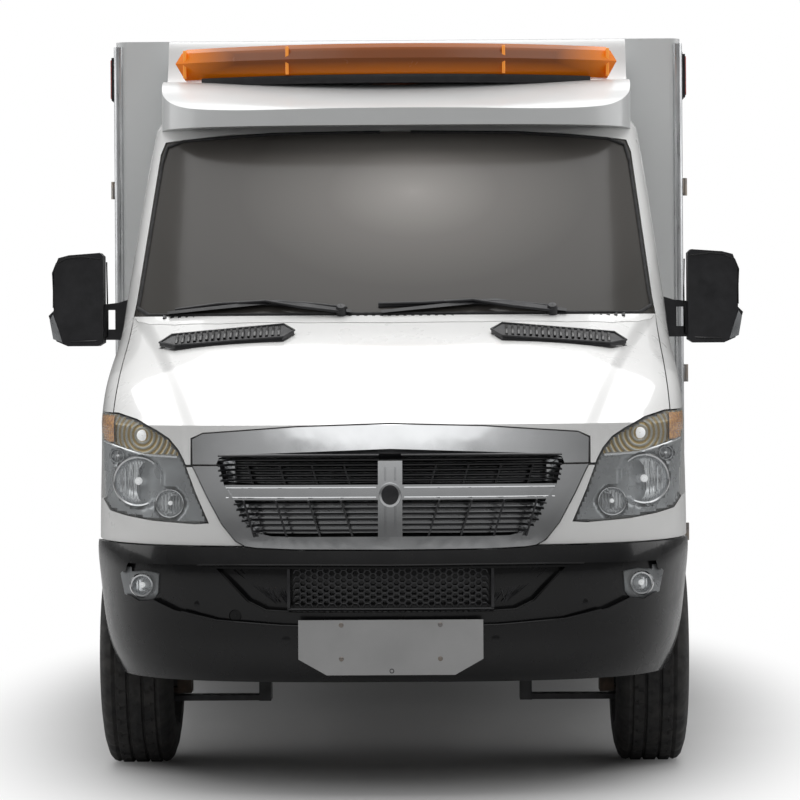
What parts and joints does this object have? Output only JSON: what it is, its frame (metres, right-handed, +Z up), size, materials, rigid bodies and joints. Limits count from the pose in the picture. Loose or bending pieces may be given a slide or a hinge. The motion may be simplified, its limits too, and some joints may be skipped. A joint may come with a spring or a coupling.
{
  "type": "box body ambulance van",
  "caption": "Box-bodied ambulance on a short-nosed white cab, with amber roof light bar, barred grille, tall door mirrors, side and rear doors, twin rear wheels and a fitted patient bay.",
  "frame": {"origin": "on the ground, midway along and across the vehicle", "axes": "+X to the vehicle's left, +Y to its rear, +Z up; it faces -Y"},
  "size_m": [2.498, 6.098, 2.61],
  "materials": {
    "white_paint": "glossy",
    "chassis_black": "satin",
    "black_plastic": "satin",
    "gloss_black": "glossy",
    "chrome": "polished",
    "silver": "satin",
    "tyre": "matte",
    "wheel_silver": "satin",
    "glass": "clear",
    "screen": "tinted",
    "lamp": "clear",
    "amber": "glossy",
    "red_lamp": "glossy",
    "grey_plastic": "matte",
    "seat": "matte",
    "vinyl": "satin",
    "cabinet": "satin",
    "steel": "satin",
    "iron": "rough",
    "tread_plate": "satin",
    "floor": "matte"
  },
  "bodies": {
    "van": {"chassis_frame": "chassis_black", "powertrain": "iron", "prop_shaft": "steel", "exhaust": "steel", "fuel_tank": "black_plastic", "front_suspension": "chassis_black", "rear_axle": "chassis_black", "leaf_springs": "chassis_black", "cab_floor": "white_paint", "cab_shell": "white_paint", "windscreen": "screen", "front_fenders": "white_paint", "front_bumper": "gloss_black", "grille": "chrome", "front_lamps": "lamp", "number_plate": "silver", "wipers": "black_plastic", "dashboard": "grey_plastic", "steering_wheel": "black_plastic", "cab_seats": "seat", "roof_cap": "white_paint", "lightbar": "amber", "box_side_left": "white_paint", "box_side_right": "white_paint", "box_front_wall": "white_paint", "box_rear_wall": "white_paint", "box_roof": "white_paint", "box_floor": "floor", "box_windows": "glass", "cabinets": "cabinet", "bench_seat": "vinyl", "rear_step": "tread_plate", "box_lamps": "red_lamp"},
    "hood": {"hood": "white_paint", "hood_bar": "chrome"},
    "cab_door_left": {"door_left": "white_paint", "door_glass_left": "glass", "mirror_left": "black_plastic"},
    "cab_door_right": {"door_right": "white_paint", "door_glass_right": "glass", "mirror_right": "black_plastic"},
    "side_door": {"side_door": "white_paint", "side_door_glass": "glass"},
    "locker_door": {"locker_door": "white_paint"},
    "rear_door_left": {"rear_door_left": "white_paint", "rear_glass_left": "glass"},
    "rear_door_right": {"rear_door_right": "white_paint", "rear_glass_right": "glass"},
    "knuckle_left": {"knuckle_left": "iron"},
    "knuckle_right": {"knuckle_right": "iron"},
    "wheel_front_left": {"tyre_front_left": "tyre", "rim_front_left": "wheel_silver"},
    "wheel_front_right": {"tyre_front_right": "tyre", "rim_front_right": "wheel_silver"},
    "wheels_rear_left": {"tyre_rear_left": "tyre", "rim_rear_left": "wheel_silver"},
    "wheels_rear_right": {"tyre_rear_right": "tyre", "rim_rear_right": "wheel_silver"}
  },
  "joints": [
    {"name": "hood_hinge", "type": "hinge", "parent": "van", "child": "hood", "pos_m": [0, -1.81, 1.536], "axis": [-1, 0, 0], "range_deg": [0, 55]},
    {"name": "cab_door_left_hinge", "type": "hinge", "parent": "van", "child": "cab_door_left", "pos_m": [0.994, -1.567, 1.2], "axis": [0, 0, -1], "range_deg": [0, 68]},
    {"name": "cab_door_right_hinge", "type": "hinge", "parent": "van", "child": "cab_door_right", "pos_m": [-0.994, -1.567, 1.2], "axis": [0, 0, 1], "range_deg": [0, 68]},
    {"name": "side_door_hinge", "type": "hinge", "parent": "van", "child": "side_door", "pos_m": [-1.108, -0.356, 1.3], "axis": [0, 0, 1], "range_deg": [0, 100]},
    {"name": "locker_door_hinge", "type": "hinge", "parent": "van", "child": "locker_door", "pos_m": [1.108, -0.356, 1.3], "axis": [0, 0, -1], "range_deg": [0, 100]},
    {"name": "rear_door_left_hinge", "type": "hinge", "parent": "van", "child": "rear_door_left", "pos_m": [0.656, 2.933, 1.5], "axis": [0, 0, -1], "range_deg": [0, 150]},
    {"name": "rear_door_right_hinge", "type": "hinge", "parent": "van", "child": "rear_door_right", "pos_m": [-0.656, 2.933, 1.5], "axis": [0, 0, 1], "range_deg": [0, 150]},
    {"name": "steer_left", "type": "hinge", "parent": "van", "child": "knuckle_left", "pos_m": [0.8, -2.046, 0.387], "axis": [0, 0, 1], "range_deg": [-35, 35]},
    {"name": "steer_right", "type": "hinge", "parent": "van", "child": "knuckle_right", "pos_m": [-0.8, -2.046, 0.387], "axis": [0, 0, 1], "range_deg": [-35, 35]},
    {"name": "roll_front_left", "type": "hinge", "parent": "knuckle_left", "child": "wheel_front_left", "pos_m": [0.8725, -2.046, 0.387], "axis": [1, 0, 0], "continuous": true},
    {"name": "roll_front_right", "type": "hinge", "parent": "knuckle_right", "child": "wheel_front_right", "pos_m": [-0.8725, -2.046, 0.387], "axis": [1, 0, 0], "continuous": true},
    {"name": "roll_rear_left", "type": "hinge", "parent": "van", "child": "wheels_rear_left", "pos_m": [0.78, 1.619, 0.387], "axis": [1, 0, 0], "continuous": true},
    {"name": "roll_rear_right", "type": "hinge", "parent": "van", "child": "wheels_rear_right", "pos_m": [-0.78, 1.619, 0.387], "axis": [1, 0, 0], "continuous": true}
  ],
  "couplings": [
    {"joint": "steer_right", "follows": "steer_left", "ratio": 1}
  ]
}
